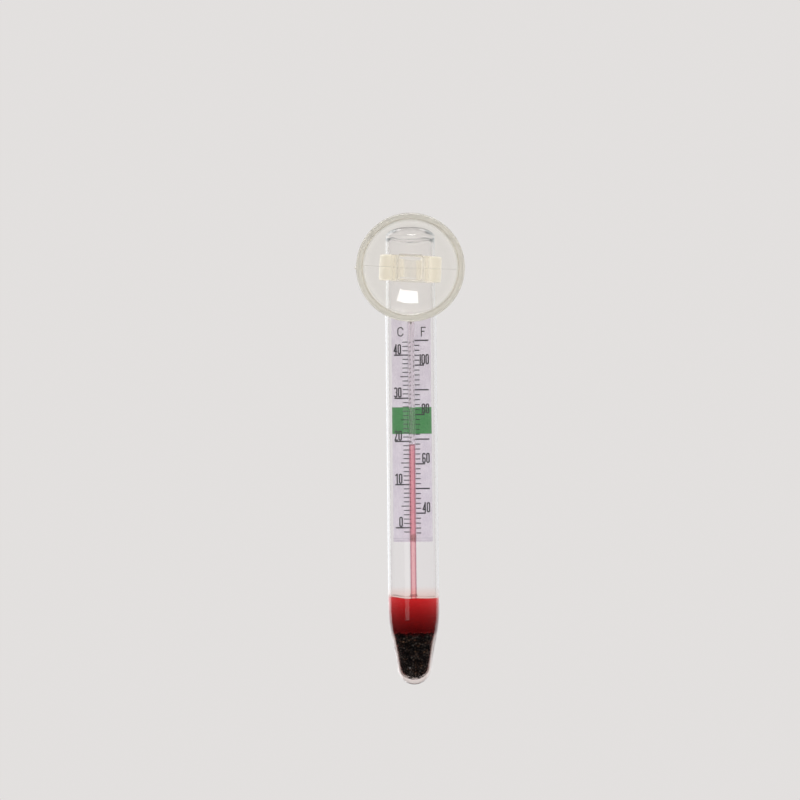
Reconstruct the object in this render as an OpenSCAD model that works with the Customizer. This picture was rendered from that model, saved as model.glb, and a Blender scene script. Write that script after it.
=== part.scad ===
// Floating glass thermometer held by a suction cup.
//
// Frame: the origin is the centre of the suction cup's sealing land, +Z runs up along the tube,
// and the cup opens towards -Y. Inside in_tube() heights are measured from the tube's lower tip,
// and X and Y from the tube's axis. Millimetres throughout.

/* [Glass tube] */
// Outer diameter of the tube
tube_d = 11.8; // [11:0.1:13]
// Thickness of the tube's wall
tube_wall = 0.8; // [0.6:0.05:0.9]
// Overall length of the tube, tip to dome
tube_len = 106.3; // [100:0.1:112]
// Widest radius of the rounded foot, where the taper starts
foot_r = 3.9; // [3.6:0.05:4.2]
// Height of the rounded foot
foot_h = 4; // [3.5:0.1:4.5]
// Height at which the taper has reached the full diameter
taper_top = 17; // [14:0.5:18]
// How fast the radius grows at the start of the taper
taper_start_slope = 0.12; // [0.05:0.01:0.25]
// Inner radius over outer radius where the drawn-down glass has thickened, below chamber_shoulder
foot_bore_ratio = 0.62; // [0.6:0.005:0.7]
// Height at which the chamber starts to widen towards the straight bore
chamber_shoulder = 10; // [8:0.5:11]
// Thickness of the solid glass under the foot's chamber
base_t = 2.1; // [1:0.1:2.4]
// Height of the dome at the sealed top
dome_h = 2.5; // [2:0.1:3.5]
// Depth to which the sealed top's glass sags inside the tube
sag_h = 1.2; // [0.6:0.1:1.6]

/* [Capillary and spirit] */
// Outer diameter of the capillary
stem_d = 1.56; // [1.3:0.02:1.6]
// Diameter of the capillary's bore
stem_bore_d = 0.9; // [0.6:0.05:0.9]
// Height of the capillary's sealed tip
stem_top = 86; // [85.5:0.5:90]
// Height of the top of the spirit reservoir
reservoir_top = 20; // [18:0.1:22]
// Thickness of the glass fused across the tube above the reservoir
partition_t = 0.4; // [0.3:0.05:0.6]
// Radius of the fillet where the capillary spreads into that glass
flare_r = 0.5; // [0.3:0.05:0.8]
// Temperature that the spirit shows at rest, in degrees Celsius
reading_c = 19.3; // [0:0.1:40]

/* [Ballast shot] */
// Diameter of one bead
shot_d = 1.36; // [1.3:0.02:1.8]
// Free space between neighbouring beads
shot_gap = 0.06; // [0.04:0.01:0.1]
// Height of the top of the bead bed
shot_top = 11.8; // [10:0.1:13]

/* [Scale card] */
// Width of the card
card_w = 9.4; // [8.6:0.1:9.6]
// Height of the card's lower edge
card_bottom = 33; // [31:0.1:34]
// Height of the card's upper edge
card_top = 85.2; // [84.5:0.1:88]
// Thickness of the card
card_t = 0.25; // [0.2:0.05:0.4]
// Free space between the capillary and the card's face
card_gap = 0.08; // [0.06:0.01:0.12]
// Thickness of the printed ink
ink_t = 0.05; // [0.03:0.01:0.05]

/* [Celsius scale] */
// Height of the 0 degree graduation
zero_c = 36.3; // [36:0.1:37]
// Spacing of the 1 degree graduations
c_pitch = 1; // [0.98:0.01:1.02]
// Coldest graduation
c_min = -1; // [-2:1:0]
// Hottest graduation
c_max = 43; // [41:1:44]
// X of the graduations' inner ends
c_inner = -0.2; // [-0.3:0.05:-0.1]
// Length of a 1 degree graduation
c_short = 1.85; // [1.6:0.05:1.9]
// Length of a 5 degree graduation
c_medium = 2.4; // [2.2:0.05:2.6]
// Length of a 10 degree graduation
c_long = 3.85; // [3.6:0.05:4]
// Warm end of the green band
band_warm_c = 27.9; // [26:0.1:29]
// Cool end of the green band
band_cool_c = 21.75; // [20.5:0.05:23]

/* [Fahrenheit scale] */
// Height of the 100 degree graduation
hundred_f = 73.95; // [73.8:0.05:74.2]
// Spacing of the 2 degree graduations, a little stretched as printed
f_pitch = 1.144; // [1.11:0.001:1.15]
// Coldest graduation
f_min = 32; // [30:2:36]
// Hottest graduation
f_max = 110; // [110:2:112]
// X of the graduations' inner ends
f_inner = 0.7; // [0.5:0.05:0.9]
// Length of a 2 degree graduation
f_short = 1.2; // [1:0.05:1.3]
// Length of the graduation under a numeral
f_under = 2.3; // [2:0.05:2.5]
// Length of the graduation halfway between two numerals
f_long = 3.4; // [3.2:0.05:3.6]

/* [Printing] */
// Thickness of a short graduation's line
line_w = 0.2; // [0.15:0.01:0.25]
// Thickness of a numbered or long graduation's line
bold_w = 0.28; // [0.2:0.01:0.32]
// Height of a numeral
digit_h = 2.35; // [2:0.05:2.4]
// Width of a numeral
digit_w = 0.84; // [0.7:0.02:0.84]
// Thickness of a numeral's stroke
stroke = 0.29; // [0.2:0.01:0.3]
// Thickness of a letter's stroke
letter_stroke = 0.23; // [0.18:0.01:0.3]
// Free space between two neighbouring numerals
digit_gap = 0.12; // [0.08:0.01:0.15]
// Free space between a numeral's foot and the graduation under it
digit_lift = 0.04; // [0.03:0.01:0.1]
// X of the Celsius numerals' right edge
c_figures_x = -2.35; // [-2.45:0.01:-2.3]
// X of the Fahrenheit numerals' left edge
f_figures_x = 2.32; // [2.3:0.01:2.45]
// Height of the letters that name the two scales
letter_h = 2.2; // [1.8:0.1:2.4]
// Width of the letter C
letter_w = 1.45; // [1.3:0.05:1.5]
// Space between the hottest Celsius graduation and the letters
letter_rise = 1.3; // [1:0.1:1.6]

/* [Suction cup] */
// Outer diameter of the cup
cup_d = 25; // [24:0.5:28]
// Diameter at which the cup's hollow begins, inside its flat sealing land
hollow_d = 21.9; // [21:0.1:22]
// Depth of the hollow
hollow_depth = 5.2; // [4.6:0.1:5.4]
// Height of the cup, sealing land to crown
cup_h = 7.2; // [7:0.1:8]
// Thickness of the rounded lip
lip_t = 0.9; // [0.7:0.05:1]
// Length of the moulding's gate stub on the lip
gate_len = 0.35; // [0.2:0.05:0.5]

/* [Holder ring] */
// Outer diameter of the ring
ring_d = 15; // [14.5:0.1:15.5]
// Height of the ring along the tube
ring_h = 6.2; // [5.5:0.1:7]
// Radial clearance between the ring and the tube
ring_clearance = 0.05; // [0.02:0.01:0.1]
// Width of the neck between the cup and the ring
neck_w = 6.1; // [5:0.1:6.5]
// Length of the neck between the crown and the ring
neck_len = 1.3; // [0.8:0.1:2.5]
// Height of the ring's centre above the tube's lower tip
ring_above_tip = 96.3; // [90:0.1:98]

/* [Hidden] */

$fn = 64;
STEPS = 14;             // straight pieces that one curved stretch of an outline is drawn with
SEAM = 0.02;            // gap between the spirit and the glass or beads around it
EDGE = 0.3;             // chamfer and corner rounding on the moulded holder

tube_r = tube_d / 2;
bore_r = tube_r - tube_wall;
stem_r = stem_d / 2;
shot_r = shot_d / 2;
cup_r = cup_d / 2;
ring_bore_r = tube_r + ring_clearance;
tube_y = cup_h + neck_len + ring_d / 2;
card_y = stem_r + card_gap;
dome_start = tube_len - dome_h;
bore_ratio = bore_r / tube_r;
chamber_foot_r = foot_r * foot_bore_ratio;
thread_top = zero_c + c_pitch * reading_c;
letter_foot = zero_c + c_pitch * c_max + letter_rise;
digit_pitch = digit_w + digit_gap;
digit_foot = bold_w / 2 + digit_lift;

// Radius of the tapering glass at height h: a cubic that leaves the foot with taper_start_slope
// and joins the straight tube with no slope.
function taper_r(h) =
    let (span = taper_top - foot_h, t = (h - foot_h) / span)
    foot_r * (1 - 3 * t * t + 2 * t * t * t)
    + tube_r * (3 * t * t - 2 * t * t * t)
    + taper_start_slope * span * (t - 2 * t * t + t * t * t);

// Points of a rounded foot, from the axis at height low to radius r at height high.
function foot_arc(r, low, high) =
    [for (i = [0 : STEPS]) let (a = 90 * i / STEPS) [r * sin(a), high - (high - low) * cos(a)]];

// Heights of the steps up the taper.
function taper_heights() =
    [for (i = [1 : STEPS]) foot_h + (taper_top - foot_h) * i / STEPS];

// Share of the outer radius that the chamber has at height h, smoothly growing above the shoulder.
function chamber_ratio(h) =
    let (t = max(0, min(1, (h - chamber_shoulder) / (taper_top - chamber_shoulder))))
    foot_bore_ratio + (bore_ratio - foot_bore_ratio) * t * t * (3 - 2 * t);

// Inner radius of the foot's chamber at height h.
function chamber_r(h) =
    h >= taper_top ? bore_r
    : h >= foot_h ? taper_r(h) * chamber_ratio(h)
    : h <= base_t ? 0
    : chamber_foot_r * sqrt(1 - pow((foot_h - h) / (foot_h - base_t), 2));

// Radius of the sphere whose cap has base radius r and height h.
function cap_sphere_r(r, h) = (r * r + h * h) / (2 * h);

// Free space around a bead centred at distance rho from the axis and height h.
function bead_room(rho, h) =
    min([for (a = [-90 : 15 : 90]) chamber_r(h + shot_r * sin(a)) - rho - shot_r * cos(a)]);

// Places the tube's own frame in the thermometer.
module in_tube() {
    translate([0, tube_y, -ring_above_tip]) children();
}

module revolve(points) {
    rotate_extrude() polygon(points);
}

module outer_tube() {
    dome = [for (i = [0 : STEPS]) let (a = 90 * i / STEPS)
        [tube_r * cos(a), dome_start + dome_h * sin(a)]];
    sag = [for (i = [0 : STEPS]) let (t = i / STEPS)
        [bore_r * t, dome_start - sag_h * (1 - t * t)]];
    outside = concat(foot_arc(foot_r, 0, foot_h), [for (h = taper_heights()) [taper_r(h), h]], dome);
    inside = concat(foot_arc(chamber_foot_r, base_t, foot_h),
        [for (h = taper_heights()) [chamber_r(h), h]]);
    color([0.86, 0.93, 0.95, 0.3]) in_tube() difference() {
        revolve(outside);
        revolve(concat(inside, [for (i = [STEPS : -1 : 0]) sag[i]]));
    }
}

module capillary_stem() {
    low = reservoir_top;
    spread = low + partition_t;
    bore = stem_bore_d / 2;
    fillet = [for (i = [0 : STEPS]) let (a = 90 * i / STEPS)
        [stem_r + flare_r * (1 - sin(a)), spread + flare_r * (1 - cos(a))]];
    tip = [for (i = [0 : STEPS]) let (a = 90 * i / STEPS)
        [stem_r * cos(a), stem_top - stem_r + stem_r * sin(a)]];
    color([0.9, 0.94, 0.95, 0.4]) in_tube() difference() {
        revolve(concat([[0, low], [bore_r, low], [bore_r, spread]], fillet, tip));
        translate([0, 0, low - 1]) cylinder(r = bore, h = stem_top - stem_d - low + 1);
    }
}

module bead(room) {
    sphere(r = shot_r + room);
}

// The bead bed, in close-packed layers that fill the chamber up to shot_top.
module bead_bed(room = 0) {
    pitch = shot_d + shot_gap;
    layer_h = pitch * sqrt(2 / 3);
    row_w = pitch * sqrt(3) / 2;
    layers = floor((shot_top - base_t - shot_d - shot_gap) / layer_h);
    reach = ceil(bore_r / row_w);
    for (k = [0 : layers]) {
        h = base_t + shot_gap + shot_r + k * layer_h;
        for (j = [-reach : reach], i = [-reach : reach]) {
            x = (i + (abs(j) % 2) / 2 + (k % 2) / 2) * pitch;
            y = j * row_w + (k % 2) * row_w / 3;
            if (bead_room(norm([x, y]), h) > shot_gap) translate([x, y, h]) bead(room);
        }
    }
}

module ballast_shot() {
    color([0.08, 0.07, 0.06]) in_tube() bead_bed();
}

module spirit_reservoir() {
    chamber = concat(
        foot_arc(chamber_foot_r - SEAM, base_t + SEAM, foot_h),
        [for (h = taper_heights()) [chamber_r(h) - SEAM, h]],
        [[bore_r - SEAM, reservoir_top - SEAM], [0, reservoir_top - SEAM]]);
    color([0.62, 0.04, 0.05]) in_tube() difference() {
        revolve(chamber);
        bead_bed(SEAM);
    }
}

module spirit_thread() {
    thread_r = stem_bore_d / 2 - 0.05;
    color([0.8, 0.2, 0.25]) in_tube() translate([0, 0, reservoir_top])
        cylinder(r = thread_r, h = thread_top - reservoir_top);
}

module scale_card() {
    color([0.8, 0.78, 0.82]) in_tube() translate([-card_w / 2, card_y, card_bottom])
        cube([card_w, card_t, card_top - card_bottom]);
}

// Two dabs that fill the space between the back of the capillary and the card, clear of the print.
module card_adhesive() {
    dab_w = 1.2;
    dab_h = 1.4;
    heights = [card_bottom + 0.3, card_top - dab_h - 0.2];
    color([0.9, 0.88, 0.8]) in_tube() difference() {
        for (h = heights) translate([-dab_w / 2, 0, h]) cube([dab_w, card_y, dab_h]);
        translate([0, 0, card_bottom - 1]) cylinder(r = stem_r, h = card_top - card_bottom + 2);
    }
}

// Lays a flat drawing in X and height on the card's face, as a layer of ink.
module ink() {
    in_tube() translate([0, card_y, 0]) rotate([90, 0, 0]) linear_extrude(ink_t) children();
}

module bar(x0, x1, h, w) {
    translate([x0, h - w / 2]) square([x1 - x0, w]);
}

// Upright slot shape of width w and height h, from its lower left corner.
module capsule(w, h) {
    translate([w / 2, w / 2]) circle(d = w);
    translate([w / 2, h - w / 2]) circle(d = w);
    translate([0, w / 2]) square([w, h - w]);
}

module loop(w, h, line = stroke) {
    difference() {
        capsule(w, h);
        translate([line, line]) capsule(w - 2 * line, h - 2 * line);
    }
}

// Sloping stroke from point a to point b.
module slant(a, b) {
    d = b - a;
    translate(a) rotate(atan2(d[1], d[0])) translate([0, -stroke / 2]) square([norm(d), stroke]);
}

module digit(n) {
    w = digit_w;
    h = digit_h;
    if (n == 0) loop(w, h);
    if (n == 1) {
        translate([w / 2, 0]) square([stroke, h]);
        slant([w / 2 + 0.1, h - 0.15], [w / 2 - 0.28, h - 0.5]);
    }
    if (n == 2) {
        intersection() {
            loop(w, h);
            translate([0, h - w / 2 - 0.1]) square([w, h]);
        }
        slant([w - 0.16, h - w / 2], [0.14, 0.1]);
        square([w, stroke]);
    }
    if (n == 3) difference() {
        union() {
            loop(w, h / 2 + stroke / 2);
            translate([0, h / 2 - stroke / 2]) loop(w, h / 2 + stroke / 2);
        }
        translate([-0.01, w / 2]) square([w / 2, h - w]);
    }
    if (n == 4) {
        translate([w - stroke - 0.1, 0]) square([stroke, h]);
        slant([w - 0.2, h - 0.12], [0.1, 0.65]);
        translate([0, 0.55]) square([w, stroke]);
    }
    if (n == 6) {
        loop(w, h * 0.56);
        intersection() {
            loop(w, h);
            union() {
                translate([0, w / 2]) square([stroke, h]);
                translate([0, h - w / 2]) square([w, w / 2]);
            }
        }
    }
    if (n == 8) {
        loop(w, h / 2 + stroke / 2);
        translate([0, h / 2 - stroke / 2]) loop(w, h / 2 + stroke / 2);
    }
}

// A row of digits whose left end is at x and whose foot is at height h.
module number(digits, x, h) {
    for (i = [0 : len(digits) - 1])
        translate([x + i * digit_pitch, h]) digit(digits[i]);
}

module celsius_ticks() {
    for (t = [c_min : c_max]) {
        length = t % 10 == 0 ? c_long : t % 5 == 0 ? c_medium : c_short;
        bar(c_inner - length, c_inner, zero_c + c_pitch * t, t % 10 == 0 ? bold_w : line_w);
    }
}

module letter_c() {
    difference() {
        loop(letter_w, letter_h, letter_stroke);
        translate([letter_w / 2 + letter_stroke, letter_h * 0.3]) square([letter_w, letter_h * 0.4]);
    }
}

module letter_f() {
    square([letter_stroke, letter_h]);
    translate([0, letter_h - letter_stroke]) square([letter_h * 0.52, letter_stroke]);
    translate([0, letter_h * 0.48]) square([letter_h * 0.4, letter_stroke]);
}

module celsius_figures() {
    for (t = [0 : 10 : 40]) {
        digits = t == 0 ? [0] : [t / 10, 0];
        width = len(digits) * digit_pitch - digit_gap;
        number(digits, c_figures_x - width, zero_c + c_pitch * t + digit_foot);
    }
    translate([c_figures_x - digit_w, letter_foot]) letter_c();
}

// Height of the Fahrenheit graduation for temperature t.
function f_height(t) = hundred_f + f_pitch * (t - 100) / 2;

module fahrenheit_ticks() {
    for (t = [f_min : 2 : f_max]) {
        numbered = t % 20 == 0;
        halfway = t % 20 == 10;
        length = halfway ? f_long : numbered ? f_under : f_short;
        bar(f_inner, f_inner + length, f_height(t), numbered || halfway ? bold_w : line_w);
    }
}

// The hundred's 1 is a bare stroke, to leave room for its two noughts.
module fahrenheit_figures() {
    for (t = [40 : 20 : 80]) number([t / 10, 0], f_figures_x, f_height(t) + digit_foot);
    translate([f_figures_x - stroke - digit_gap / 2, f_height(100) + digit_foot]) {
        square([stroke, digit_h]);
        number([0, 0], stroke + digit_gap, 0);
    }
    translate([f_figures_x, letter_foot]) letter_f();
}

module celsius_graduations() {
    color([0.16, 0.13, 0.18]) ink() celsius_ticks();
}

module celsius_numerals() {
    color([0.16, 0.13, 0.18]) ink() celsius_figures();
}

module fahrenheit_graduations() {
    color([0.16, 0.13, 0.18]) ink() fahrenheit_ticks();
}

module fahrenheit_numerals() {
    color([0.16, 0.13, 0.18]) ink() fahrenheit_figures();
}

// Green ink across the card, with the black printing left out of it.
module comfort_band() {
    low = zero_c + c_pitch * band_cool_c;
    high = zero_c + c_pitch * band_warm_c;
    color([0.26, 0.57, 0.3]) ink() difference() {
        translate([-card_w / 2, low]) square([card_w, high - low]);
        celsius_ticks();
        celsius_figures();
        fahrenheit_ticks();
        fahrenheit_figures();
    }
}

// Rectangle w by h about its centre, with its corners rounded to radius r.
module rounded_rect(w, h, r) {
    square([w - 2 * r, h], center = true);
    square([w, h - 2 * r], center = true);
    for (x = [-1, 1], y = [-1, 1]) translate([x * (w / 2 - r), y * (h / 2 - r)]) circle(r = r);
}

// The cup's bowl before it is hollowed: a round-edged lip under a domed back.
module cup_bowl() {
    lip_r = lip_t / 2;
    dome_base_r = cup_r - lip_r;
    dome_rise = cup_h - lip_t;
    dome_r = cap_sphere_r(dome_base_r, dome_rise);
    rotate([-90, 0, 0]) {
        cylinder(r = dome_base_r, h = lip_t);
        rotate_extrude() translate([dome_base_r, lip_r]) circle(r = lip_r);
        intersection() {
            translate([0, 0, cup_h - dome_r]) sphere(r = dome_r);
            translate([0, 0, lip_t / 2]) cylinder(r = dome_base_r, h = cup_h);
        }
    }
}

module holder_ring() {
    r = ring_d / 2;
    h = ring_h / 2;
    in_tube() translate([0, 0, ring_above_tip]) revolve([
        [0, -h], [r - EDGE, -h], [r, -h + EDGE], [r, h - EDGE], [r - EDGE, h], [0, h]]);
}

module suction_cup() {
    hollow_r = cap_sphere_r(hollow_d / 2, hollow_depth);
    neck_start = cup_h - 1.2;
    color([0.9, 0.87, 0.78, 0.45]) difference() {
        union() {
            cup_bowl();
            holder_ring();
            translate([0, neck_start, 0]) rotate([-90, 0, 0])
                linear_extrude(tube_y - neck_start) rounded_rect(neck_w, ring_h, EDGE);
            translate([-cup_r - gate_len, lip_t / 2, 0]) rotate([0, 90, 0])
                cylinder(r = lip_t / 3, h = gate_len * 2);
        }
        translate([0, hollow_depth - hollow_r, 0]) sphere(r = hollow_r);
        translate([0, tube_y, -ring_h]) cylinder(r = ring_bore_r, h = 2 * ring_h);
    }
}

suction_cup();
outer_tube();
capillary_stem();
spirit_reservoir();
spirit_thread();
ballast_shot();
scale_card();
card_adhesive();
comfort_band();
celsius_graduations();
celsius_numerals();
fahrenheit_graduations();
fahrenheit_numerals();
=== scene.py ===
"""A floating glass thermometer on its suction cup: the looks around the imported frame.

Lengths of the thermometer's pieces are in millimetres in its own frame, and are turned into metres
when a mesh is made. The floor, the lights and the camera are placed in metres. A height called h is
measured from the glass tube's lower tip, and in the suction cup from its flat sealing land.
"""
import math

import bpy
import bmesh
import numpy as np
from mathutils import Euler, Matrix, Vector, noise


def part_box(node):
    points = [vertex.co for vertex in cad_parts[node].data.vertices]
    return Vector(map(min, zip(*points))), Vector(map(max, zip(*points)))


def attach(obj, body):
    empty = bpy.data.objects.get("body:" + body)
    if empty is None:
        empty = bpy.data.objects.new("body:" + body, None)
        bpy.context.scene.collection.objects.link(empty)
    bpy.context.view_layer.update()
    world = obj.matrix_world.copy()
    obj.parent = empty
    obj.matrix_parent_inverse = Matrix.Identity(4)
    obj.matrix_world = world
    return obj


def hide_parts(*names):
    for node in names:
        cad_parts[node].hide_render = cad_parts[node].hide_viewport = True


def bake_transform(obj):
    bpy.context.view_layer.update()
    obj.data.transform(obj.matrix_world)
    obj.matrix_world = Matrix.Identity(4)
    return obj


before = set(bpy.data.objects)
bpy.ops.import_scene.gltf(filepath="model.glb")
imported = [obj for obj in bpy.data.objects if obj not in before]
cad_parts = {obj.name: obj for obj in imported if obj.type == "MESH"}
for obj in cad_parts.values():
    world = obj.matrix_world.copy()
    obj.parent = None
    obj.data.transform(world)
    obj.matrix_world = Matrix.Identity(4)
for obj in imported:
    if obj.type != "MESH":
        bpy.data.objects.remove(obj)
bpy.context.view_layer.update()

MM = 0.001

# ---------------------------------------------------------------- sizes, from the frame

tube_low, tube_high = (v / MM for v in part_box("outer_tube"))
stem_low, stem_high = (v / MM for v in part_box("capillary_stem"))
thread_low, thread_high = (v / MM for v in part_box("spirit_thread"))
card_low, card_high = (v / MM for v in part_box("scale_card"))
dabs_low, dabs_high = (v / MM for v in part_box("card_adhesive"))
cup_low, cup_high = (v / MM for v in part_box("suction_cup"))

TUBE_Y = (tube_low.y + tube_high.y) / 2
TIP_Z = tube_low.z
TUBE_LEN = tube_high.z - tube_low.z
TUBE_R = (tube_high.x - tube_low.x) / 2
WALL = 0.8
BORE_R = TUBE_R - WALL
FOOT_R = 3.9
FOOT_H = 4.0
TAPER_TOP = 17.0
TAPER_START_SLOPE = 0.12
FOOT_BORE_RATIO = 0.62
CHAMBER_SHOULDER = 10.0
BASE_T = 2.1
DOME_H = 2.5
SAG_H = 1.2
CORNER_R = 0.9          # rounding where the sealed top's glass meets the bore

RESERVOIR_TOP = stem_low.z - TIP_Z
STEM_TOP = stem_high.z - TIP_Z
STEM_R = 0.78
STEM_BORE_R = 0.45
PARTITION_T = 0.4
FLARE_R = 0.5
THREAD_TOP = thread_high.z - TIP_Z
BEADS = 640
BEAD_R = 0.37
BED_TOP = 12.4
GLASS_IOR = 1.47
SPIRIT_IOR = 1.36
OVERLAP = 0.02          # how far a liquid reaches into its glass, so that no film of air shows

CUP_R = cup_high.x
LIP_R = 0.45
HOLLOW_R = 10.95
HOLLOW_DEPTH = 5.2
CUP_H = 7.2
RING_R = 7.5
RING_BORE_R = 5.95
RING_H = 6.2
NECK_W = 6.1
CUP_LEAN = math.radians(3.0)    # how far the soft ring sits askew on the tube
GATE_LEN = -cup_low.x - CUP_R   # the stub that the moulding's gate leaves on the lip
GATE_R = 0.3
HAZE = "haze"           # the vinyl's attribute for how cloudy its skin is

# How far hand-worked glass and torn vinyl stray from their true shape, and how often for each mm
ROOF_MELT = (0.5, 0.4)
FOOT_MELT = (0.12, 0.6)
SKIN_MELT = (0.012, 0.35)
GATE_TEAR = (0.04, 2)


# ---------------------------------------------------------------- mesh helpers

def arc(n, start=0.0, end=90.0):
    """n + 1 angles from start to end degrees, in radians."""
    return [math.radians(start + (end - start) * i / n) for i in range(n + 1)]


def smooth_step(t):
    t = min(max(t, 0.0), 1.0)
    return t * t * (3 - 2 * t)


def new_object(name, verts, faces, smooth=True):
    mesh = bpy.data.meshes.new(name)
    mesh.from_pydata([tuple(c * MM for c in v) for v in verts], [], faces)
    mesh.validate()
    mesh.polygons.foreach_set("use_smooth", [smooth] * len(mesh.polygons))
    if smooth:
        mesh.set_sharp_from_angle(angle=math.radians(35))
    obj = bpy.data.objects.new(name, mesh)
    bpy.context.scene.collection.objects.link(obj)
    return obj


def spin(profile, place, segments=160, closed=False):
    """Vertices and faces of a profile of (radius, height) points turned about the height axis.

    place(x, y, h) gives the vertex for a point of the turned shape. A point on the axis becomes
    one vertex. A closed profile's last point is joined to its first.
    """
    verts, rings, faces = [], [], []
    for r, h in profile:
        if r < 1e-6:
            rings.append([len(verts)])
            verts.append(place(0.0, 0.0, h))
            continue
        rings.append(list(range(len(verts), len(verts) + segments)))
        for i in range(segments):
            a = 2 * math.pi * i / segments
            verts.append(place(r * math.cos(a), r * math.sin(a), h))
    pairs = list(zip(rings, rings[1:]))
    if closed:
        pairs.append((rings[-1], rings[0]))
    for low, high in pairs:
        for i in range(segments):
            j = (i + 1) % segments
            if len(low) == 1 and len(high) == 1:
                break
            if len(low) == 1:
                faces.append((low[0], high[j], high[i]))
            elif len(high) == 1:
                faces.append((low[i], low[j], high[0]))
            else:
                faces.append((low[i], low[j], high[j], high[i]))
    return verts, faces


def join_shells(shells):
    """One list of vertices and faces from several."""
    verts, faces = [], []
    for some_verts, some_faces in shells:
        start = len(verts)
        verts += some_verts
        faces += [tuple(i + start for i in f) for f in some_faces]
    return verts, faces


def outward(obj):
    """Makes the normals of a closed mesh point out of its material."""
    bm = bmesh.new()
    bm.from_mesh(obj.data)
    bmesh.ops.recalc_face_normals(bm, faces=bm.faces)
    bm.to_mesh(obj.data)
    bm.free()
    return obj


def on_tube_axis(x, y, h):
    return x, y + TUBE_Y, h + TIP_Z


def apply_modifiers(obj):
    depsgraph = bpy.context.evaluated_depsgraph_get()
    mesh = bpy.data.meshes.new_from_object(obj.evaluated_get(depsgraph))
    obj.modifiers.clear()
    obj.data = mesh
    return obj


def finish_piece(obj, body, materials, slot, *nodes):
    """Gives a piece its materials and body, and hides the CAD nodes it stands for. Its record slot
    is not used.
    """
    for material in materials:
        obj.data.materials.append(material)
    if body:
        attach(obj, body)
    if nodes:
        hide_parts(*nodes)
    return obj


# ---------------------------------------------------------------- the glass tube's outline

def taper_r(h):
    """Outer radius of the glass at height h: one curve from the foot to the straight tube."""
    span = TAPER_TOP - FOOT_H
    t = (h - FOOT_H) / span
    return (FOOT_R * (1 - 3 * t * t + 2 * t ** 3) + TUBE_R * (3 * t * t - 2 * t ** 3)
            + TAPER_START_SLOPE * span * (t - 2 * t * t + t ** 3))


def chamber_r(h):
    """Inner radius of the chamber at each height in an array. The drawn-down glass is thicker."""
    foot = FOOT_R * FOOT_BORE_RATIO * np.sqrt(
        np.clip(1 - ((FOOT_H - h) / (FOOT_H - BASE_T)) ** 2, 0, 1))
    t = np.clip((h - CHAMBER_SHOULDER) / (TAPER_TOP - CHAMBER_SHOULDER), 0, 1)
    ratio = FOOT_BORE_RATIO + (BORE_R / TUBE_R - FOOT_BORE_RATIO) * t * t * (3 - 2 * t)
    taper = taper_r(np.clip(h, FOOT_H, TAPER_TOP)) * ratio
    return np.where(h < FOOT_H, foot, np.minimum(taper, BORE_R))


def foot_points(r, low, n=28):
    return [(r * math.sin(a), FOOT_H - (FOOT_H - low) * math.cos(a)) for a in arc(n)]


def taper_heights(n=36):
    return [FOOT_H + (TAPER_TOP - FOOT_H) * i / n for i in range(1, n + 1)]


def chamber_points(reach=0.0):
    """The chamber's outline from the axis up to the straight bore, moved out by reach."""
    foot = foot_points(FOOT_R * FOOT_BORE_RATIO + reach, BASE_T - reach)
    return foot + [(float(chamber_r(h)) + reach, h) for h in taper_heights()]


def spirit_surface(x, y):
    """How far the fused glass over the spirit stands above its mean height: up at the left."""
    climb, climb_from = 0.6, 0.6
    left = max(0.0, (-x - climb_from) / BORE_R)
    return climb * left ** 1.7 + 0.05 * math.sin(1.3 * x + 0.7) + 0.04 * math.sin(1.1 * y)


def melted(x, y, h, wander):
    """Offset from the true shape at a point. wander is its size and how often it changes."""
    amount, scale = wander
    return amount * noise.noise(Vector((x, y, h)) * scale)


# ---------------------------------------------------------------- material helpers

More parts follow.
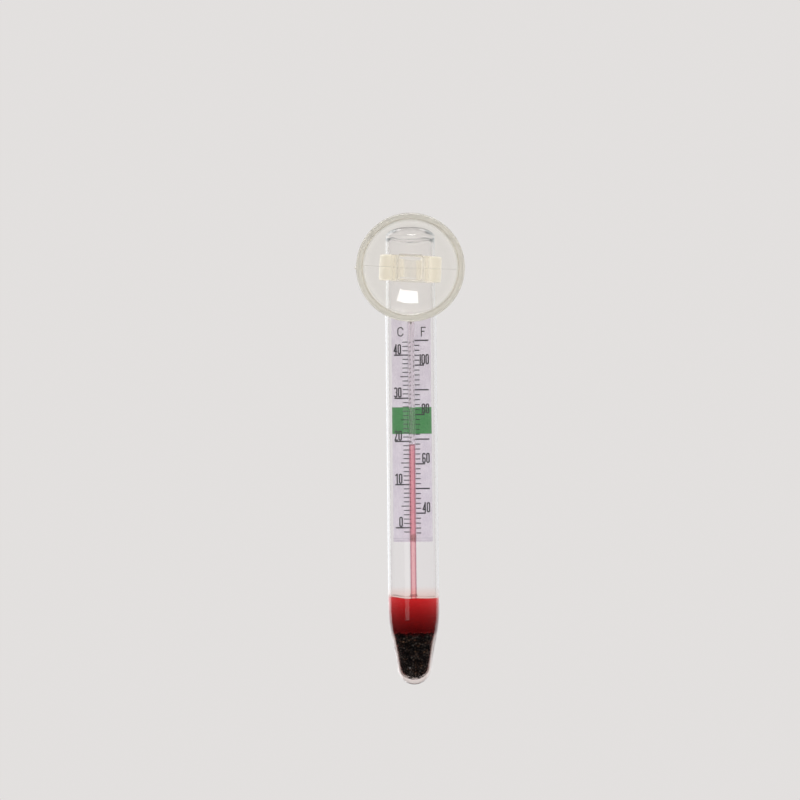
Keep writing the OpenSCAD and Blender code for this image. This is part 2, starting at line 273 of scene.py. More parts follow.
class Shader:
    """A material or world in the making: its nodes, their links, and the object's coordinates."""

    def __init__(self, name, library=bpy.data.materials):
        self.owner = library.new(name)
        self.owner.use_nodes = True
        self.nodes = self.owner.node_tree.nodes
        self.links = self.owner.node_tree.links
        self.nodes.clear()
        self.coords = self.nodes.new("ShaderNodeTexCoord").outputs["Object"]

    def put(self, value, socket):
        """Links value to a socket if it is a socket itself, and otherwise sets it there."""
        if isinstance(value, bpy.types.NodeSocket):
            self.links.new(value, socket)
        elif isinstance(value, tuple) and len(value) == 3 and socket.type == "RGBA":
            socket.default_value = (*value, 1)
        else:
            socket.default_value = value

    def node(self, kind, **values):
        """A new ShaderNode of a kind, with its inputs set by name."""
        n = self.nodes.new("ShaderNode" + kind)
        for key, value in values.items():
            self.put(value, n.inputs[key.replace("_", " ")])
        return n

    def math(self, operation, a, b=None, clamp=False):
        n = self.nodes.new("ShaderNodeMath")
        n.operation = operation
        n.use_clamp = clamp
        for socket, value in zip(n.inputs, (a, b)):
            if value is not None:
                self.put(value, socket)
        return n.outputs[0]

    def ramp(self, value, low, high, start, end):
        """value mapped smoothly from low..high to start..end."""
        n = self.node("MapRange", Value=value, From_Min=low, From_Max=high, To_Min=start,
                      To_Max=end)
        n.interpolation_type = "SMOOTHSTEP"
        return n.outputs["Result"]

    def place(self, axis):
        """The object's own coordinate along X, Y or Z."""
        return self.node("SeparateXYZ", Vector=self.coords).outputs[axis]

    def along_tube(self, squeeze):
        """Coordinates that draw a texture out along the tube."""
        return self.node("Mapping", Vector=self.coords, Scale=(1, 1, squeeze)).outputs[0]

    def noise(self, scale, detail=3.0, roughness=0.5, coords=None):
        n = self.node("TexNoise", Vector=self.coords if coords is None else coords, Scale=scale,
                      Detail=detail, Roughness=roughness)
        return n.outputs["Fac"]

    def mix_colour(self, factor, a, b):
        n = self.nodes.new("ShaderNodeMix")
        n.data_type = "RGBA"
        for key, value in (("Factor", factor), ("A", a), ("B", b)):
            self.put(value, n.inputs[key])
        return n.outputs["Result"]

    def bump(self, height, distance):
        return self.node("Bump", Height=height, Strength=1.0, Distance=distance).outputs["Normal"]

    def facing(self):
        """0 where the surface faces the viewer and 1 where it is seen edge on."""
        return self.node("LayerWeight", Blend=0.5).outputs["Facing"]

    def mix(self, factor, a, b):
        n = self.node("MixShader", Fac=factor)
        self.links.new(a.outputs[0], n.inputs[1])
        self.links.new(b.outputs[0], n.inputs[2])
        return n

    def add(self, a, b):
        n = self.node("AddShader")
        self.links.new(a.outputs[0], n.inputs[0])
        self.links.new(b.outputs[0], n.inputs[1])
        return n

    def lit_through(self, surface, tint):
        """surface, but light on its way to what is inside goes straight through, tinted."""
        path = self.node("LightPath")
        through = self.math("MAXIMUM", path.outputs["Is Shadow Ray"],
                            path.outputs["Is Diffuse Ray"])
        return self.mix(through, surface, self.node("BsdfTransparent", Color=tint))

    def done(self, surface, volume=None):
        out = self.node("OutputMaterial")
        self.links.new(surface.outputs[0], out.inputs["Surface"])
        if volume:
            self.links.new(volume.outputs[0], out.inputs["Volume"])
        return self.owner


# ---------------------------------------------------------------- materials

def glass_material(name, tint, ripple):
    """Clear drawn glass, with faint draw lines along the tube and a painted pink glow just over the
    spirit.
    """
    s = Shader(name)
    lines = s.noise(900, 2, coords=s.along_tube(0.08))
    low, high = ((TIP_Z + RESERVOIR_TOP + rise) * MM for rise in (0.6, 3.0))
    # Painted light: the glass is tinted pink just over the spirit, standing in for the red spirit's
    # light.
    painted_pink_glow = s.mix_colour(s.ramp(s.place("Z"), low, high, 0, 1), (1.0, 0.955, 0.945), tint)
    glass = s.node("BsdfGlass", Roughness=0.0, IOR=GLASS_IOR, Color=painted_pink_glow,
                   Normal=s.bump(lines, ripple * MM))
    # Painted light: light mirrored round and round inside the wall comes out as an even grey glow
    # in the end.
    mirrored = s.node("LightPath").outputs["Glossy Depth"]
    grey = s.node("Emission", Color=(0.24, 0.26, 0.27), Strength=1.0)
    piped = s.mix(s.math("GREATER_THAN", mirrored, 2.5), glass, grey)
    return s.done(s.lit_through(piped, (0.96, 0.97, 0.97)))


def wetted_material():
    """The face of the glass that the spirit lies on: the spirit's own surface bends the light."""
    s = Shader("wetted_glass")
    return s.done(s.node("BsdfTransparent", Color=(1, 1, 1)))


def spirit_material(name, ior, absorbed, tint, glow=0.0):
    """Red-dyed spirit: clear, and darker the more of it the light crosses.

    absorbed is how much red, green and blue light each metre takes, tint(shader) gives the
    socket of a further colour that each crossing of the surface takes, and glow is how much
    painted light each metre of the dye gives off: an even emission standing in for scattered light.
    """
    s = Shader(name)
    surface = s.node("BsdfGlass", Roughness=0.0, IOR=ior, Color=tint(s))
    density = 600.0
    volume = s.node("VolumeAbsorption", Density=density,
                    Color=tuple(1 - a / density for a in absorbed))
    if glow:
        # Painted light: the dye glows pink of itself, standing in for light it scatters.
        volume = s.add(volume, s.node("Emission", Color=(1.0, 0.30, 0.32), Strength=glow))
    return s.done(s.lit_through(surface, (1, 1, 1)), volume)


def painted_shade_over_shot(s):
    """Painted shade in the bulb's tint, darker downwards as less light gets there: clear at the top
    of the bulb, dark just over the shot, and a thin film before the shot.
    """
    low, high = 10.0, RESERVOIR_TOP
    stops = ((11.2, (0.52, 0.48, 0.46)), (12.6, (0.31, 0.12, 0.12)), (high, (1, 1, 1)))
    level = s.node("MapRange", Value=s.place("Z"), From_Min=(TIP_Z + low) * MM,
                   From_Max=(TIP_Z + high) * MM)
    # The ramp's colours are painted shade, not a colour of the spirit.
    dye = s.node("ValToRGB", Fac=level.outputs["Result"])
    while len(dye.color_ramp.elements) < len(stops):
        dye.color_ramp.elements.new(0.5)
    for element, (h, colour) in zip(dye.color_ramp.elements, stops):
        element.position = (h - low) / (high - low)
        element.color = (*colour, 1)
    return dye.outputs["Color"]


def painted_core_and_side_shade(s):
    """Painted light and shade: pale in the middle of the column and darker along its sides, as a
    round bore shows it.
    """
    return s.mix_colour(s.ramp(s.facing(), 0.02, 0.26, 0, 1), (1.0, 0.98, 0.98),
                        (0.80, 0.58, 0.64))


def shot_material():
    """Blackened steel shot: glossy, with rusty brown on some beads, and a painted highlight in each
    bead's middle.
    """
    s = Shader("black_shot")
    patches = s.noise(1100, 2)
    fine = s.noise(9000, 2)
    rust = s.ramp(patches, 0.5, 0.72, 0, 1)
    surface = s.node("BsdfPrincipled", Specular_IOR_Level=0.25,
                     Base_Color=s.mix_colour(rust, (0.003, 0.0028, 0.0026), (0.03, 0.02, 0.011)),
                     Roughness=s.ramp(fine, 0.3, 0.7, 0.2, 0.3), Normal=s.bump(fine, 0.01 * MM))
    # Painted highlight: an emission, brown-tinted on the rusty patches, stands in for daylight
    # gathered by the bulb, which each round bead throws back from its middle.
    middle = s.ramp(s.facing(), 0.02, 0.24, 1, 0)
    uneven = s.ramp(s.noise(700, 1), 0.4, 0.68, 0.005, 0.13)
    brown = s.ramp(patches, 0.45, 0.6, 0, 1)
    glint = s.node("Emission", Color=s.mix_colour(brown, (0.8, 0.85, 0.78), (0.9, 0.6, 0.35)),
                   Strength=s.math("MULTIPLY", middle, uneven))
    return s.done(s.add(surface, glint))


def paper_material():
    """Pale lilac-grey printed card with fine fibres and two faint rules at its foot."""
    s = Shader("scale_paper")
    fibres = s.noise(5200, 5, 0.65, coords=s.along_tube(0.35))
    tone = s.math("ADD", s.math("MULTIPLY", fibres, 0.6), s.math("MULTIPLY", s.noise(420), 0.4))
    paper = s.mix_colour(s.ramp(tone, 0.35, 0.65, 0, 1), (0.75, 0.665, 0.75),
                         (0.875, 0.795, 0.865))
    marks = []
    for above_edge in (0.35, 0.85):
        gap = s.math("ABSOLUTE", s.math("SUBTRACT", s.place("Z"), (card_low.z + above_edge) * MM))
        marks.append(s.ramp(gap, 0.06 * MM, 0.14 * MM, 1, 0))
    rules = s.math("MULTIPLY", s.math("MAXIMUM", *marks), 0.3)
    surface = s.node("BsdfPrincipled", Roughness=0.75, Normal=s.bump(fibres, 0.012 * MM),
                     Base_Color=s.mix_colour(rules, paper, (0.3, 0.28, 0.33)))
    return s.done(surface)


def ink_material(name, light, dark):
    """Printing ink that lies a little unevenly on the paper's fibres."""
    s = Shader(name)
    grain = s.noise(5200, 5, 0.65)
    colour = s.mix_colour(s.ramp(grain, 0.35, 0.68, 0, 1), dark, light)
    return s.done(s.node("BsdfPrincipled", Roughness=0.6, Base_Color=colour,
                         Normal=s.bump(grain, 0.01 * MM)))


def adhesive_material():
    """Clear set adhesive: a faint sheen and small lumps."""
    s = Shader("clear_adhesive")
    lumps = s.noise(1800, 2)
    clear = s.node("BsdfTransparent",
                   Color=s.mix_colour(lumps, (0.96, 0.94, 0.90), (0.99, 0.98, 0.96)))
    sheen = s.node("BsdfPrincipled", Base_Color=(0.85, 0.82, 0.74), Roughness=0.3,
                   Normal=s.bump(lumps, 0.02 * MM))
    return s.done(s.mix(s.ramp(lumps, 0.35, 0.65, 0.04, 0.16), clear, sheen))


def soft_pvc_material():
    """Clear soft vinyl: creamy where it is thick, and hazy on the lip and the ring's sides, where
    its skin gives off painted light; its inside gives off a painted cream glow.
    """
    s = Shader("soft_pvc")
    skin = s.bump(s.noise(700, 2), 0.003 * MM)
    back = s.ramp(s.place("Y"), 3 * MM, CUP_H * MM, 0, 1)

    def grey_to_cream(lip, ring):
        return s.mix_colour(back, lip, ring)

    clear = s.node("BsdfGlass", Color=(0.985, 0.98, 0.965), IOR=1.5, Normal=skin,
                   Roughness=s.ramp(s.noise(260, 2), 0.3, 0.7, 0.02, 0.06))
    milky = s.node("BsdfPrincipled", Roughness=0.28, Normal=skin,
                   Base_Color=grey_to_cream((0.67, 0.65, 0.60), (0.90, 0.85, 0.74)))
    glow = s.node("BsdfTranslucent", Color=grey_to_cream((0.69, 0.67, 0.62), (0.95, 0.91, 0.82)))
    # Painted light: an emission stands in for light that has wandered through the moulding and
    # comes out of its cloudy skin.
    painted_gathered_light = s.node("Emission", Strength=0.22,
                      Color=grey_to_cream((0.47, 0.43, 0.37), (1.0, 0.84, 0.62)))
    cloudy = s.add(s.mix(0.5, milky, glow), painted_gathered_light)
    haze = s.node("Attribute")
    haze.attribute_name = HAZE
    surface = s.mix(haze.outputs["Fac"], clear, cloudy)
    # Painted light inside the vinyl: what it blocks, for each metre, it gives back as an even cream
    # glow.
    density = 30.0
    block = s.node("VolumeAbsorption", Density=density, Color=(0, 0, 0))
    cream = s.node("Emission", Color=(0.74, 0.68, 0.56), Strength=density)
    return s.done(s.lit_through(surface, (0.97, 0.96, 0.94)), s.add(block, cream))


# ---------------------------------------------------------------- the thermometer's pieces

def tube_outlines(dome_start):
    """Outlines of the tube's outside and of its inside, each from the foot to the sealed top."""
    sides = [RESERVOIR_TOP + (dome_start - RESERVOIR_TOP) * i / 12 for i in range(12)]
    dome = [(TUBE_R * math.cos(a), dome_start + DOME_H * math.sin(a)) for a in arc(28)]
    outside = (foot_points(FOOT_R, 0) + [(taper_r(h), h) for h in taper_heights()]
               + [(TUBE_R, h) for h in sides] + dome[:-1] + [(0, TUBE_LEN)])
    # The inside's corner ends a little under the dome, so that the sealed top is thicker.
    corner = [(BORE_R - CORNER_R * (1 - math.cos(a)), dome_start - CORNER_R * (1.3 - math.sin(a)))
              for a in arc(10)]
    roof_r, roof_h = BORE_R - CORNER_R, corner[-1][1]
    sag = [(roof_r * i / 20, roof_h - SAG_H * (1 - (i / 20) ** 2) ** 1.5) for i in range(19, 0, -1)]
    inside = (chamber_points() + [(BORE_R, h) for h in sides[:-1]] + corner + sag
              + [(0, roof_h - SAG_H)])
    return outside, inside


def make_tube():
    """The closed tube: an outer skin and an inner one, both melted shut at top and bottom."""
    dome_start = TUBE_LEN - DOME_H
    calm_from = TAPER_TOP + 8       # the outside is true from here up
    outside, inside = tube_outlines(dome_start)

    def inner_place(x, y, h):
        if h > dome_start - 2 * SAG_H:
            h += melted(x, y, dome_start, ROOF_MELT)
        elif h == RESERVOIR_TOP:
            h += spirit_surface(x, y)
        elif h < FOOT_H:
            h += melted(x, y, h, FOOT_MELT)
        return on_tube_axis(x, y, h)

    def outer_place(x, y, h):
        fade = smooth_step((calm_from - h) / 10)
        shrink = 1 - fade * abs(melted(x, y, h, SKIN_MELT))
        return on_tube_axis(x * shrink, y * shrink, h)

    outer_verts, outer_faces = spin(outside, outer_place, 192)
    inner_verts, inner_faces = spin(inside, inner_place, 192)
    flipped = [tuple(reversed(f)) for f in inner_faces]
    verts, faces = join_shells([(outer_verts, outer_faces), (inner_verts, flipped)])
    tube = new_object("glass_tube", verts, faces)
    wet_z = (TIP_Z + RESERVOIR_TOP + 1) * MM        # just over the spirit's highest edge
    for face in tube.data.polygons[len(outer_faces):]:
        face.material_index = int(max(tube.data.vertices[i].co.z for i in face.vertices) < wet_z)
    return tube


def make_stem():
    """The capillary, with its foot spread and fused across the tube."""
    low = RESERVOIR_TOP
    spread = low + PARTITION_T
    rim = BORE_R + OVERLAP
    floor = [(STEM_BORE_R + (rim - STEM_BORE_R) * i / 16, low) for i in range(17)]
    roof = [(rim - (rim - STEM_R - FLARE_R) * i / 16, spread) for i in range(17)]
    fillet = [(STEM_R + FLARE_R * (1 - math.sin(a)), spread + FLARE_R * (1 - math.cos(a)))
              for a in arc(12)]
    tip = [(STEM_R * math.cos(a), STEM_TOP - STEM_R + STEM_R * math.sin(a)) for a in arc(12)]
    bore_top = STEM_TOP - 2 * STEM_R
    bore = [(0, bore_top), (STEM_BORE_R * 0.7, bore_top - 0.12), (STEM_BORE_R, bore_top - 0.5)]
    settled = 1.5           # how far above the partition its unevenness has died out
    profile = floor + roof + fillet[1:] + tip[:-1] + [(0, STEM_TOP)] + bore

    def place(x, y, h):
        near = max(0.0, 1 - max(0.0, h - spread) / settled)
        return on_tube_axis(x, y, h + near * spirit_surface(x, y))

    stem = outward(new_object("capillary", *spin(profile, place, 96, closed=True)))
    floor_z = (TIP_Z + low + PARTITION_T / 2) * MM
    for face in stem.data.polygons:
        co = face.center
        level = floor_z + spirit_surface(co.x / MM, co.y / MM - TUBE_Y) * MM
        face.material_index = int(face.normal.z < -0.5 and co.z < level)
    return stem


def make_spirit():
    """The spirit in the foot of the tube, up to the fused glass."""
    rim, side_top = BORE_R + OVERLAP, TAPER_TOP + 1.5
    outline = chamber_points(OVERLAP) + [(rim, side_top)]
    top = [(rim * i / 16, RESERVOIR_TOP + OVERLAP) for i in range(16, -1, -1)]

    def place(x, y, h):
        if h < FOOT_H:
            h += melted(x, y, h, FOOT_MELT)
        if h > side_top:
            h += spirit_surface(x, y)
        return on_tube_axis(x, y, h)

    return new_object("red_spirit_bulb", *spin(outline + top, place, 160))


def make_thread():
    """The spirit column, with the hollow top that a wetting liquid has."""
    r = STEM_BORE_R + OVERLAP / 2
    into_bulb, dip = 0.3, 0.3
    low = RESERVOIR_TOP - into_bulb
    side = [(r, low), (r, THREAD_TOP - 2.0), (r, THREAD_TOP)]
    hollow = [(r * math.cos(a), THREAD_TOP - dip * math.sin(a)) for a in arc(8)][1:-1]
    profile = [(0, low)] + side + hollow + [(0, THREAD_TOP - dip)]
    return new_object("red_spirit_column", *spin(profile, on_tube_axis, 48))


def settle_beads(count, radius, top, steps=130, fall=0.011, give=0.45, reach=2.5):
    """Centres of beads poured into the chamber: scattered, pushed apart, and drawn down.

    Each step draws the beads down by fall, and moves two that overlap apart by a share, give,
    of their overlap each. Pairs within reach radii of each other are found every fourth step.
    """
    rng = np.random.default_rng(7)
    levels = np.linspace(BASE_T + radius, top, 200)
    room_below = np.cumsum(chamber_r(levels) ** 2)
    h = np.interp(rng.uniform(0, room_below[-1], count), room_below, levels)
    a = rng.uniform(0, 2 * math.pi, count)
    rho = np.sqrt(rng.uniform(0, 1, count)) * np.maximum(chamber_r(h) - radius, 0)
    p = np.stack([rho * np.cos(a), rho * np.sin(a), h], 1)
    for step in range(steps):
        if step % 4 == 0:
            square = (p ** 2).sum(1)
            gap2 = square[:, None] + square[None, :] - 2 * p @ p.T
            first, second = np.nonzero(np.triu(gap2 < (reach * radius) ** 2, 1))
        p[:, 2] -= fall if step < steps * 0.7 else 0.0
        apart = p[first] - p[second]
        length = np.maximum(np.linalg.norm(apart, axis=1), 1e-6)
        push = np.clip(2 * radius - length, 0, None) / length * give
        move = apart * push[:, None]
        np.add.at(p, first, move)
        np.add.at(p, second, -move)
        p[:, 2] = np.maximum(p[:, 2], BASE_T + radius)
        room = np.minimum(chamber_r(p[:, 2] - 0.4 * radius), chamber_r(p[:, 2])) - radius * 1.02
        rho = np.maximum(np.hypot(p[:, 0], p[:, 1]), 1e-6)
        p[:, :2] *= np.minimum(1, np.maximum(room, 0.01) / rho)[:, None]
    return p


def make_beads():
    """The shot: round beads, each a closed ball of its own."""
    centres = settle_beads(BEADS, BEAD_R, BED_TOP)
    bm = bmesh.new()
    bmesh.ops.create_uvsphere(bm, u_segments=16, v_segments=10, radius=BEAD_R)
    bmesh.ops.triangulate(bm, faces=bm.faces)
    ball = np.array([v.co for v in bm.verts])
    # Blender lists a ball's faces in an order that changes from run to run.
    tris = np.array(sorted([v.index for v in f.verts] for f in bm.faces))
    bm.free()
    verts = (centres[:, None, :] + ball[None]).reshape(-1, 3) + (0, TUBE_Y, TIP_Z)
    faces = (tris[None] + np.arange(len(centres))[:, None, None] * len(ball)).reshape(-1, 3)
    return new_object("shot_beads", verts.tolist(), faces.tolist())


def make_card():
    """The scale card: a thin sheet with rounded corners and slightly soft edges."""
    w = (card_high.x - card_low.x) / 2
    thick = card_high.y - card_low.y
    corner, soft_edge = 0.35, 0.05
    outline = []
    for x, z, start in ((w, card_high.z, 0), (-w, card_high.z, 90),
                        (-w, card_low.z, 180), (w, card_low.z, 270)):
        cx = x - math.copysign(corner, x)
        cz = z - corner if z == card_high.z else z + corner
        outline += [(cx + corner * math.cos(a), cz + corner * math.sin(a))
                    for a in arc(5, start, start + 90)]
    n = len(outline)
    verts = [(x, y, z) for y in (card_low.y, card_low.y + thick) for x, z in outline]
    faces = [tuple(range(n)), tuple(reversed(range(n, 2 * n)))]
    faces += [(i, n + i, n + (i + 1) % n, (i + 1) % n) for i in range(n)]
    card = outward(new_object("card", verts, faces, smooth=False))
    soften = card.modifiers.new("soft_edge", "BEVEL")
    soften.width = soft_edge * MM
    soften.segments = 2
    return apply_modifiers(card)


def make_dabs():
    """Two blobs of adhesive between the back of the capillary and the card."""
    shells = []
    half_w, half_t, half_h = 0.62, 0.13, 0.72
    inset, sunk = 0.7, 0.05     # from the node's ends to each dab's middle, and into the stem
    y = TUBE_Y + STEM_R - sunk
    for centre, lean in ((dabs_low.z + inset, 0.1), (dabs_high.z - inset, -0.08)):
        bm = bmesh.new()
        bmesh.ops.create_icosphere(bm, subdivisions=4, radius=1)
        verts = []
        for v in bm.verts:
            swell = 1 + 0.18 * noise.noise((v.co + Vector((0, 0, centre))) * 1.3)
            verts.append((v.co.x * half_w * swell + lean, y + v.co.y * half_t,
                          centre + v.co.z * half_h * swell))
        shells.append((verts, [tuple(v.index for v in f.verts) for f in bm.faces]))
        bm.free()
    return new_object("adhesive_dabs", *join_shells(shells))


# ---------------------------------------------------------------- the suction cup

def cap_sphere_r(r, h):
    """Radius of the sphere whose cap has base radius r and height h."""
    return (r * r + h * h) / (2 * h)


def sphere_points(base_r, rise, base_h, n, from_axis):
    """Points on a cap that rises from base_r at base_h to base_h + rise on the axis."""
    big = cap_sphere_r(base_r, rise)
    widest = math.asin(base_r / big)
    angles = [widest * i / n for i in range(n + 1)]
    if not from_axis:
        angles.reverse()
    return [(big * math.sin(a), base_h + rise - big * (1 - math.cos(a))) for a in angles]


def cup_shell():
    """The bowl: hollow, flat land, round lip and domed back, turned about the Y axis."""
    dome_base = CUP_R - LIP_R
    hollow = sphere_points(HOLLOW_R, HOLLOW_DEPTH, 0, 60, True)
    lip = [(dome_base + LIP_R * math.sin(a), LIP_R - LIP_R * math.cos(a)) for a in arc(16, 0, 180)]
    dome = sphere_points(dome_base, CUP_H - 2 * LIP_R, 2 * LIP_R, 60, False)
    return spin(hollow + lip + dome[1:], lambda x, y, h: (x, h, -y), 256)


def leaning(x, y, z):
    """A point of the moulding turned a little about the cup's axis."""
    c, s = math.cos(CUP_LEAN), math.sin(CUP_LEAN)
    return c * x + s * z, y, c * z - s * x


def ring_shell():
    """The ring: its outside leans with the cup, and its bore stays in line with the tube."""
    edge = 0.3
    half = RING_H / 2
    profile = [(RING_BORE_R, -half), (RING_R - edge, -half), (RING_R, -half + edge),
               (RING_R, half - edge), (RING_R - edge, half), (RING_BORE_R, half)]

    def place(x, y, h):
        if math.hypot(x, y) > RING_BORE_R + 0.01:
            return leaning(x, y + TUBE_Y, h)
        return x, y + TUBE_Y, h - math.sin(CUP_LEAN) * x

    return spin(profile, place, 192, closed=True)


def neck_shell():
    """The neck between the bowl's crown and the ring, a little waisted."""
    into_bowl, into_ring = 1.2, 1.0
    start, end = CUP_H - into_bowl, TUBE_Y - RING_R + into_ring
    layers, verts, faces = 12, [], []
    corner, narrowing = 0.5, 0.04
    for k in range(layers + 1):
        t = k / layers
        waist = 1 - narrowing * math.sin(math.pi * t)
        for sx, sz, a0 in ((1, 1, 0), (-1, 1, 90), (-1, -1, 180), (1, -1, 270)):
            for a in arc(4, a0, a0 + 90):
                x = sx * (NECK_W / 2 * waist - corner) + corner * math.cos(a)
                z = sz * (RING_H / 2 * waist - corner) + corner * math.sin(a)
                verts.append(leaning(x, start + (end - start) * t, z))
    n = len(verts) // (layers + 1)
    for k in range(layers):
        for i in range(n):
            j = (i + 1) % n
            faces.append((k * n + i, k * n + j, (k + 1) * n + j, (k + 1) * n + i))
    faces.append(tuple(range(n)))
    faces.append(tuple(reversed(range(layers * n, (layers + 1) * n))))
    return verts, faces


def add_haze(obj):
    """Stores how cloudy the vinyl's skin is at each vertex, and so where its painted glow shows: on
    the lip and on the ring's sides.
    """
    clear, lip_haze, ring_haze, ring_side_haze = 0.01, 0.38, 0.06, 0.82
    side_x, lip_y, ring_y = 4.0, 3.0, CUP_H + 1     # where the ring's sides, lip and ring begin
    values = []
    for v in obj.data.vertices:
        x, y, z = v.co / MM
        value = clear
        if y < lip_y:
            value = lip_haze * smooth_step((math.hypot(x, z) - HOLLOW_R) / 0.35)
        elif y > ring_y:
            value = ring_haze + ring_side_haze * smooth_step((abs(x) - side_x) / 0.9)
        values.append(max(value, clear))
    obj.data.attributes.new(HAZE, "FLOAT", "POINT").data.foreach_set("value", values)


def make_cup():
    """Bowl, neck and ring melted into one moulding, with the soft corners that vinyl has."""
    parts = []
    for shell in (cup_shell(), ring_shell(), neck_shell()):
        parts.append(outward(new_object("cup_part", *shell)))
    merged = bmesh.new()
    for part in parts:
        merged.from_mesh(part.data)
        bpy.data.objects.remove(part)
    bmesh.ops.scale(merged, verts=merged.verts, vec=(1 / MM,) * 3)
    mesh = bpy.data.meshes.new("suction_cup_moulding")
    merged.to_mesh(mesh)
    merged.free()
    cup = bpy.data.objects.new("suction_cup_moulding", mesh)
    bpy.context.scene.collection.objects.link(cup)
    remesh = cup.modifiers.new("fuse", "REMESH")
    remesh.mode = "VOXEL"
    remesh.voxel_size = 0.14
    relax = cup.modifiers.new("relax", "SMOOTH")
    relax.factor = 0.5
    relax.iterations = 8
    apply_modifiers(cup)
    cup.data.transform(Matrix.Scale(MM, 4))
    cup.data.polygons.foreach_set("use_smooth", [True] * len(cup.data.polygons))
    add_haze(cup)
    return cup


def make_flash_line():
    """The thin line that the mould's two halves leave round the bowl's back and the ring."""
    dome_base = CUP_R - LIP_R
    dome = sphere_points(dome_base, CUP_H - 2 * LIP_R, 2 * LIP_R, 40, False)
    half_w, height, sunk = 0.05, 0.06, 0.04
    mean_r, back_share = 12, 0.7            # the bowl's slope, as its radius and its share of depth
    shells = []
    for side in (-1, 1):
        points = [p for p in dome if p[0] > NECK_W / 2 + 0.2]
        verts, faces = [], []
        for r, h in points:
            for lift, half in ((-sunk, -half_w), (-sunk, half_w), (height, half_w / 2),
                               (height, -half_w / 2)):
                scale = 1 + lift / mean_r
                verts.append(leaning(side * r * scale, h + lift * back_share, half))
        for k in range(len(points) - 1):
            for i in range(4):
                j = (i + 1) % 4
                faces.append((4 * k + i, 4 * k + j, 4 * k + 4 + j, 4 * k + 4 + i))
        last = 4 * (len(points) - 1)
        faces += [(3, 2, 1, 0), (last, last + 1, last + 2, last + 3)]
        shells.append((verts, faces))
    profile = [(RING_R - sunk, -half_w), (RING_R + height, -half_w / 2),
               (RING_R + height, half_w / 2), (RING_R - sunk, half_w)]
    shells.append(spin(profile, lambda x, y, h: leaning(x, y + TUBE_Y, h), 128, closed=True))
    return outward(new_object("cup_flash_line", *join_shells(shells)))


def make_gate_stub():
    """The short broken stub of the moulding's gate, on the lip's left."""
    root, tip, blunt, spread = CUP_R - GATE_LEN, CUP_R + GATE_LEN, 0.1, 1.15
    out = [(GATE_R - blunt * (1 - math.sin(a)), tip - blunt * (1 - math.cos(a)))
           for a in arc(5, 90, 0)]
    profile = [(0, root), (GATE_R * spread, root)] + out + [(0, tip)]

    def place(x, y, h):
        return -h, LIP_R + y, x + melted(x, y, h, GATE_TEAR)

    return outward(new_object("cup_gate_stub", *spin(profile, place, 32)))


# ---------------------------------------------------------------- light, floor and camera

BACKDROP = (0.765, 0.745, 0.735)
AMBIENT = 0.2           # the unseen room's light on matt surfaces
ROOM = 0.05             # and how bright it is where a glossy surface mirrors it


def make_world():
    """The backdrop's colour for what is seen, and a dimmer room for what only lights or mirrors."""
    s = Shader("studio", bpy.data.worlds)
    bpy.context.scene.world = s.owner
    path = s.node("LightPath")
    # Light that the glass lets through is flagged as glossy too, and sees the backdrop.
    mirrored = s.math("SUBTRACT", path.outputs["Is Glossy Ray"],
                      path.outputs["Is Transmission Ray"], clamp=True)
    unseen = s.math("MAXIMUM", path.outputs["Is Diffuse Ray"], mirrored)
    seen = s.node("Background", Color=BACKDROP, Strength=1.0)
    room = s.node("Background", Color=(0.9, 0.93, 1.0),
                  Strength=s.ramp(mirrored, 0, 1, AMBIENT, ROOM))
    out = s.node("OutputWorld")
    s.links.new(s.mix(unseen, seen, room).outputs[0], out.inputs["Surface"])


def softbox(name, azimuth, elevation, distance, width, height, radiance, colour=(1, 1, 1),
            roll=0):
    """A rectangular light aimed at the object. Azimuth 0 is the camera's side, and 90 its right.

    It is mirrored in glass, but isn't seen through glass.
    """
    data = bpy.data.lights.new(name, "AREA")
    data.shape = "RECTANGLE"
    data.size, data.size_y = width, height
    data.color = colour
    data.energy = radiance * width * height * math.pi
    light = bpy.data.objects.new(name, data)
    a, e = math.radians(azimuth), math.radians(elevation)
    away = Vector((math.sin(a) * math.cos(e), -math.cos(a) * math.cos(e), math.sin(e)))
    light.location = Vector((0, TUBE_Y * MM, -0.03)) + away * distance
    light.rotation_euler = away.to_track_quat("Z", "Y").to_euler()
    light.visible_camera = False
    light.visible_transmission = False
    light.rotation_euler.rotate_axis("Z", math.radians(roll))
    bpy.context.scene.collection.objects.link(light)


def floor_material():
    """Pale and matt, and the backdrop's own colour farther out."""
    s = Shader("pale_floor")
    distance = s.nodes.new("ShaderNodeVectorMath")
    distance.operation = "LENGTH"
    s.links.new(s.coords, distance.inputs[0])
    near = s.node("BsdfDiffuse", Color=(0.8, 0.79, 0.78))
    far = s.node("Emission", Color=BACKDROP, Strength=1.0)
    fade_from, fade_to = 0.05, 0.28
    fade = s.ramp(distance.outputs["Value"], fade_from, fade_to, 0, 1)
    return s.done(s.mix(fade, near, far))


def make_floor():
    """A pale floor under the hanging thermometer, which fades into the backdrop's colour."""
    size, drop = 6.0, 45
    bpy.ops.mesh.primitive_grid_add(x_subdivisions=8, y_subdivisions=8, size=size,
                                    location=(0, 0, (TIP_Z - drop) * MM))
    floor = bpy.context.object
    floor.name = "floor"
    floor.data.materials.append(floor_material())
    floor.visible_glossy = False        # glass mirrors the panels beyond it


def make_camera():
    """A long lens square to the scale, turned by the slight lean that the tube hangs with."""
    distance = 1.5
    view_width = 0.1853
    lean = math.radians(0.59)
    target = Vector((-2.7, TUBE_Y, -30.4)) * MM
    data = bpy.data.cameras.new("camera")
    data.sensor_width = 36.0
    data.lens = 36.0 * distance / view_width
    data.clip_start, data.clip_end = 0.05, 20.0
    camera = bpy.data.objects.new("camera", data)
    camera.location = target + Vector((0, -distance, 0))
    camera.rotation_euler = Euler((math.radians(90), lean, 0))
    bpy.context.scene.collection.objects.link(camera)
    bpy.context.scene.camera = camera


# ---------------------------------------------------------------- assembly

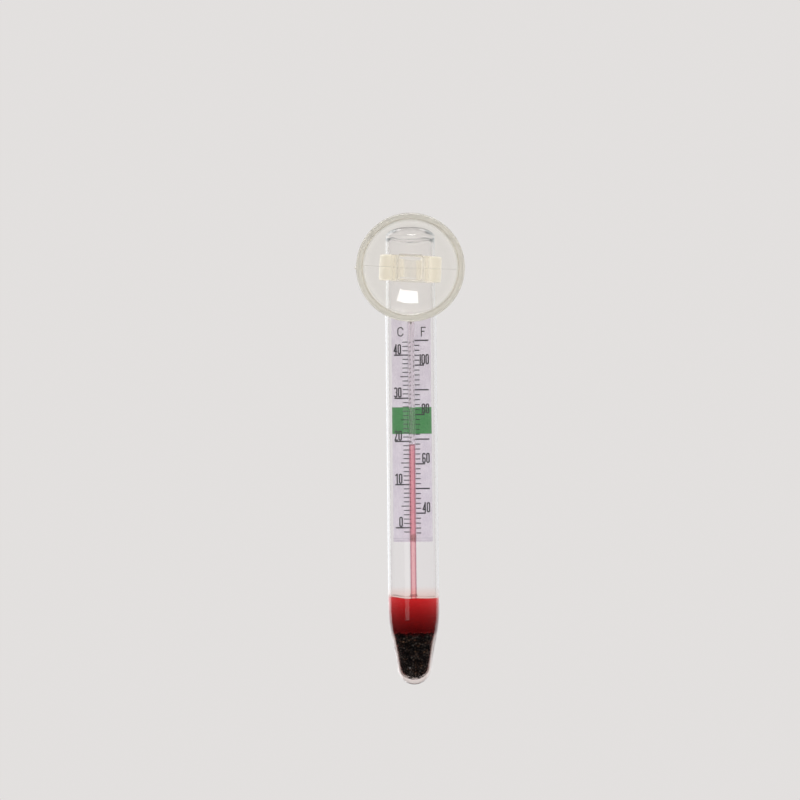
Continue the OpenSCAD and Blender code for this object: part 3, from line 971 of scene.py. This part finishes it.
def build():
    tube_glass = glass_material("tube_glass", (0.999, 0.996, 0.999), 0.004)
    stem_glass = glass_material("stem_glass", (1.0, 0.985, 0.988), 0.002)
    wetted = wetted_material()
    # Light comes to the bulb's spirit from glass, and to the column's through a face of its own.
    bulb_spirit = spirit_material("red_spirit_bulb", SPIRIT_IOR / GLASS_IOR,
                                  absorbed=(30, 350, 340), tint=painted_shade_over_shot)
    column_spirit = spirit_material("red_spirit_column", SPIRIT_IOR,
                                    absorbed=(65, 520, 460), tint=painted_core_and_side_shade, glow=150.0)
    pvc = soft_pvc_material()
    shot = shot_material()
    finish_piece(make_tube(), "thermometer", [tube_glass, wetted], "tube_glass", "outer_tube")
    finish_piece(make_stem(), "thermometer", [stem_glass, wetted], "stem_glass", "capillary_stem")
    finish_piece(make_spirit(), "thermometer", [bulb_spirit], "red_spirit", "spirit_reservoir")
    thread = finish_piece(make_thread(), None, [column_spirit], "red_spirit", "spirit_thread")
    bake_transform(thread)
    finish_piece(make_beads(), "thermometer", [shot], "black_shot", "ballast_shot")
    finish_piece(make_card(), "thermometer", [paper_material()], "scale_paper", "scale_card")
    finish_piece(make_dabs(), "thermometer", [adhesive_material()], "clear_adhesive",
                 "card_adhesive")
    finish_piece(make_cup(), "holder", [pvc], "soft_pvc", "suction_cup")
    for mark in (make_flash_line(), make_gate_stub()):
        add_haze(mark)
        finish_piece(mark, "holder", [pvc], "soft_pvc")
    black = ink_material("black_ink", (0.03, 0.022, 0.032), (0.008, 0.006, 0.009))
    green = ink_material("green_ink", (0.068, 0.31, 0.088), (0.04, 0.215, 0.055))
    for name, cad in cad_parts.items():
        if name.startswith(("celsius", "fahrenheit", "comfort")):
            cad.data.materials.clear()
            cad.data.materials.append(green if name == "comfort_band" else black)


build()
make_world()
make_floor()
softbox("top_box", azimuth=8, elevation=58, distance=0.9, width=0.50, height=0.42,
        radiance=9.5, roll=-12)
softbox("left_box", azimuth=-30, elevation=7, distance=1.4, width=0.5, height=1.15, radiance=1.3)
for name, side, radiance in (("right_panel", 1, 1.2), ("left_panel", -1, 2.0)):
    softbox(name, azimuth=148 * side, elevation=4, distance=1.0, width=0.9, height=1.4,
            radiance=radiance, colour=(0.95, 0.98, 1.0))
make_camera()
bpy.context.scene.view_settings.view_transform = "Standard"
